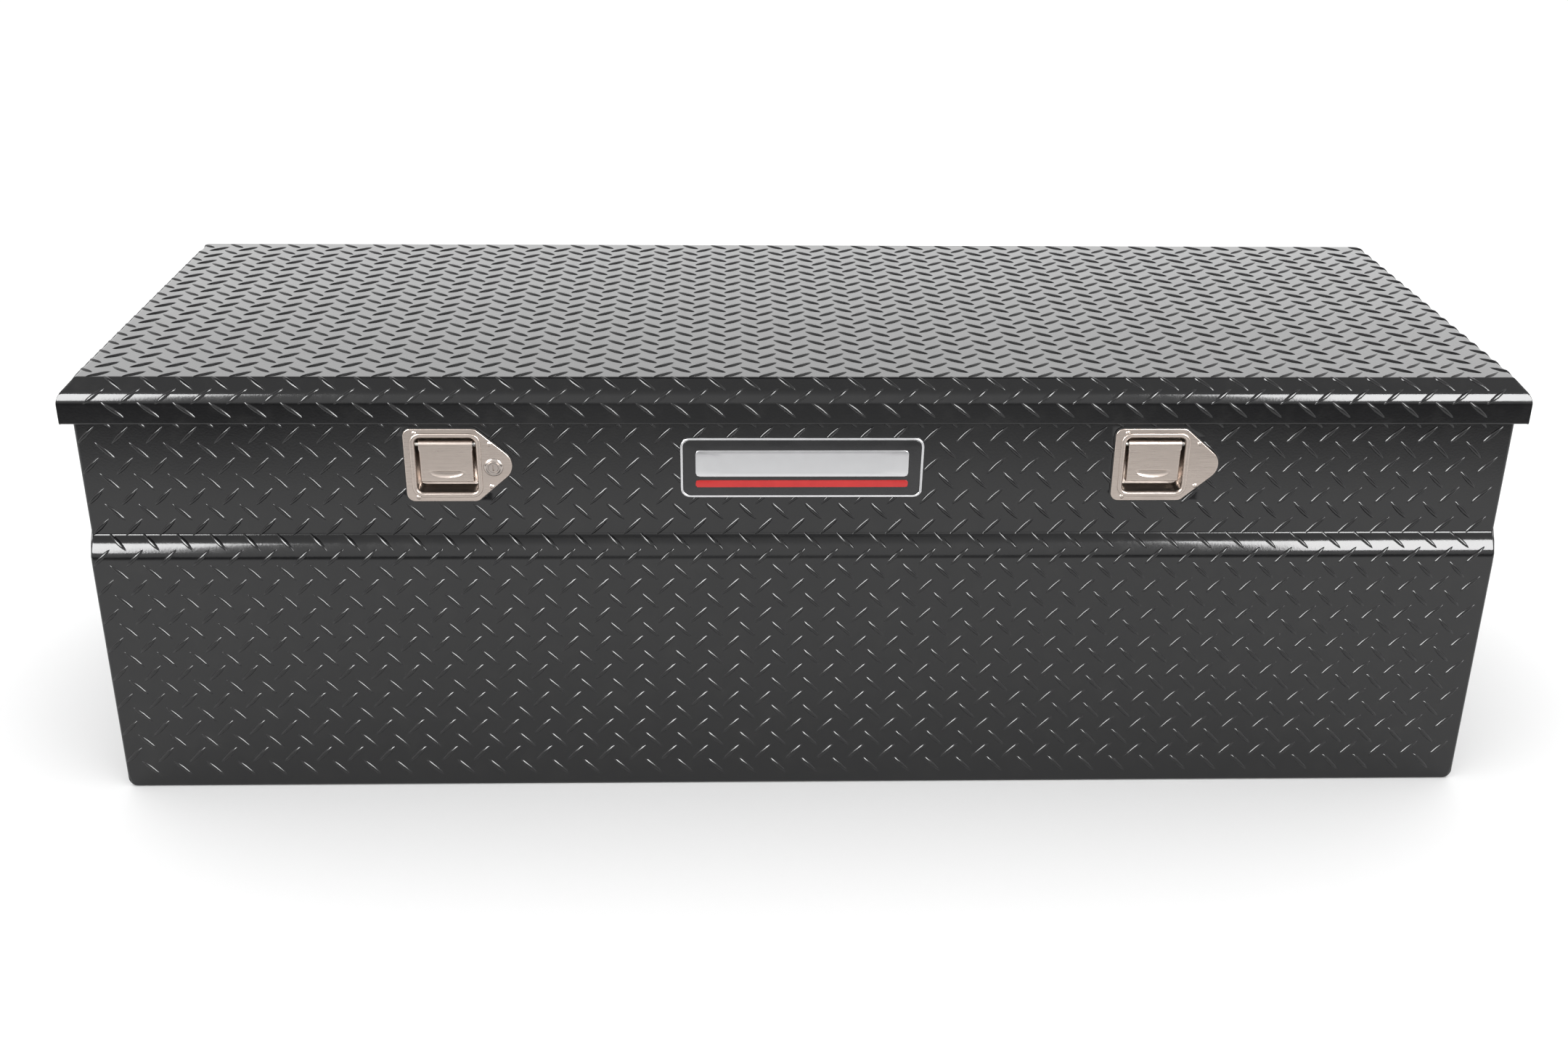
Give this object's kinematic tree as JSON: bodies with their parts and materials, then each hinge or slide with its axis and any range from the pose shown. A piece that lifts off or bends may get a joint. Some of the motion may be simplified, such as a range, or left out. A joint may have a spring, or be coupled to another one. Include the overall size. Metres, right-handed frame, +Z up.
{
  "type": "truck tool box",
  "caption": "Long tread-plate tool chest for a pickup bed, with a full-width hinged lid, a ledge across the front, paddle latches and gas struts.",
  "frame": {"origin": "centre of the object's footprint, on the surface it stands on", "axes": "+X along the chest to the right seen from the front, +Y to the rear, +Z up"},
  "size_m": [1.524, 0.5334, 0.48],
  "materials": {
    "black_tread": "gloss powder coat over raised tread",
    "bare_aluminium": "mill finish",
    "stainless": "brushed and polished stainless",
    "seal_rubber": "matt",
    "zinc_steel": "zinc plated",
    "spring_steel": "bright wire",
    "lock_chrome": "polished",
    "badge_black": "gloss, with a silver panel and a red stripe",
    "badge_silver": "satin chrome",
    "strut_black": "satin",
    "strut_chrome": "hard chrome",
    "socket_plastic": "moulded"
  },
  "bodies": {
    "chest": {"badge_plate": "badge_black", "badge_trim": "badge_silver", "floor_panel": "black_tread", "front_panel": "black_tread", "hinge_body_leaf": "bare_aluminium", "hinge_body_rivets": "bare_aluminium", "hinge_pin": "stainless", "hook_pins": "zinc_steel", "latch_rivets": "stainless", "left_end_panel": "black_tread", "left_hook_spring": "spring_steel", "left_latch_backing_plate": "zinc_steel", "left_latch_bracket": "zinc_steel", "left_latch_gasket": "seal_rubber", "left_latch_pan": "stainless", "left_strut_body_bracket": "zinc_steel", "left_strut_body_stud": "zinc_steel", "lid_seal": "seal_rubber", "lock_housing": "lock_chrome", "lock_nut": "zinc_steel", "paddle_pins": "zinc_steel", "paddle_springs": "spring_steel", "rear_panel": "black_tread", "right_end_panel": "black_tread", "right_hook_spring": "spring_steel", "right_latch_backing_plate": "zinc_steel", "right_latch_bracket": "zinc_steel", "right_latch_gasket": "seal_rubber", "right_latch_pan": "stainless", "right_strut_body_bracket": "zinc_steel", "right_strut_body_stud": "zinc_steel", "strut_body_screws": "zinc_steel"},
    "lid": {"lid_skin": "black_tread", "lid_front_channel": "bare_aluminium", "lid_middle_channel": "bare_aluminium", "lid_rear_channel": "bare_aluminium", "hinge_lid_leaf": "bare_aluminium", "hinge_lid_rivets": "bare_aluminium", "striker_pins": "zinc_steel", "striker_nuts": "zinc_steel", "left_striker_bracket": "zinc_steel", "right_striker_bracket": "zinc_steel", "left_strut_lid_bracket": "zinc_steel", "right_strut_lid_bracket": "zinc_steel", "strut_lid_nuts": "zinc_steel", "strut_lid_studs": "zinc_steel"},
    "left_paddle": {"left_paddle": "stainless"},
    "right_paddle": {"right_paddle": "stainless"},
    "left_hook": {"left_hook": "zinc_steel"},
    "right_hook": {"right_hook": "zinc_steel"},
    "lock_plug": {"lock_plug": "lock_chrome", "lock_cam": "zinc_steel"},
    "left_strut_cylinder": {"left_strut_cylinder": "strut_black", "left_strut_cylinder_socket": "socket_plastic"},
    "left_strut_rod": {"left_strut_rod": "strut_chrome", "left_strut_rod_socket": "socket_plastic"},
    "right_strut_cylinder": {"right_strut_cylinder": "strut_black", "right_strut_cylinder_socket": "socket_plastic"},
    "right_strut_rod": {"right_strut_rod": "strut_chrome", "right_strut_rod_socket": "socket_plastic"}
  },
  "joints": [
    {"name": "lid_hinge", "type": "hinge", "parent": "chest", "child": "lid", "pos_m": [0, 0.2635, 0.453], "axis": [-1, 0, 0], "range_deg": [0, 75]},
    {"name": "left_paddle_pull", "type": "hinge", "parent": "chest", "child": "left_paddle", "pos_m": [-0.372, -0.2492, 0.408], "axis": [-1, 0, 0], "range_deg": [0, 40], "stiffness_Nm_per_rad": 0.25, "springref_deg": -8.59},
    {"name": "left_hook_turn", "type": "hinge", "parent": "chest", "child": "left_hook", "pos_m": [-0.372, -0.2067, 0.394], "axis": [1, 0, 0], "range_deg": [0, 15.1]},
    {"name": "left_strut_tilt", "type": "hinge", "parent": "chest", "child": "left_strut_cylinder", "pos_m": [-0.708, 0.2025, 0.262], "axis": [-1, 0, 0], "range_deg": [0, 24.1]},
    {"name": "left_strut_slide", "type": "slide", "parent": "left_strut_cylinder", "child": "left_strut_rod", "axis": [0, -0.3597, 0.9331], "range_m": [0, 0.1222]},
    {"name": "right_paddle_pull", "type": "hinge", "parent": "chest", "child": "right_paddle", "pos_m": [0.372, -0.2492, 0.408], "axis": [-1, 0, 0], "range_deg": [0, 40], "stiffness_Nm_per_rad": 0.25, "springref_deg": -8.59},
    {"name": "right_hook_turn", "type": "hinge", "parent": "chest", "child": "right_hook", "pos_m": [0.372, -0.2067, 0.394], "axis": [1, 0, 0], "range_deg": [0, 15.1]},
    {"name": "right_strut_tilt", "type": "hinge", "parent": "chest", "child": "right_strut_cylinder", "pos_m": [0.708, 0.2025, 0.262], "axis": [-1, 0, 0], "range_deg": [0, 24.1]},
    {"name": "right_strut_slide", "type": "slide", "parent": "right_strut_cylinder", "child": "right_strut_rod", "axis": [0, -0.3597, 0.9331], "range_m": [0, 0.1222]},
    {"name": "lock_turn", "type": "hinge", "parent": "chest", "child": "lock_plug", "pos_m": [-0.323, -0.2527, 0.384], "axis": [0, 1, 0], "range_deg": [0, 90]}
  ],
  "couplings": [
    {"joint": "left_hook_turn", "follows": "left_paddle_pull", "ratio": 0.375},
    {"joint": "left_strut_tilt", "follows": "lid_hinge", "ratio": 0.31945},
    {"joint": "left_strut_slide", "follows": "lid_hinge", "m_per_rad": 0.093218},
    {"joint": "right_hook_turn", "follows": "right_paddle_pull", "ratio": 0.375},
    {"joint": "right_strut_tilt", "follows": "lid_hinge", "ratio": 0.31945},
    {"joint": "right_strut_slide", "follows": "lid_hinge", "m_per_rad": 0.093218}
  ]
}
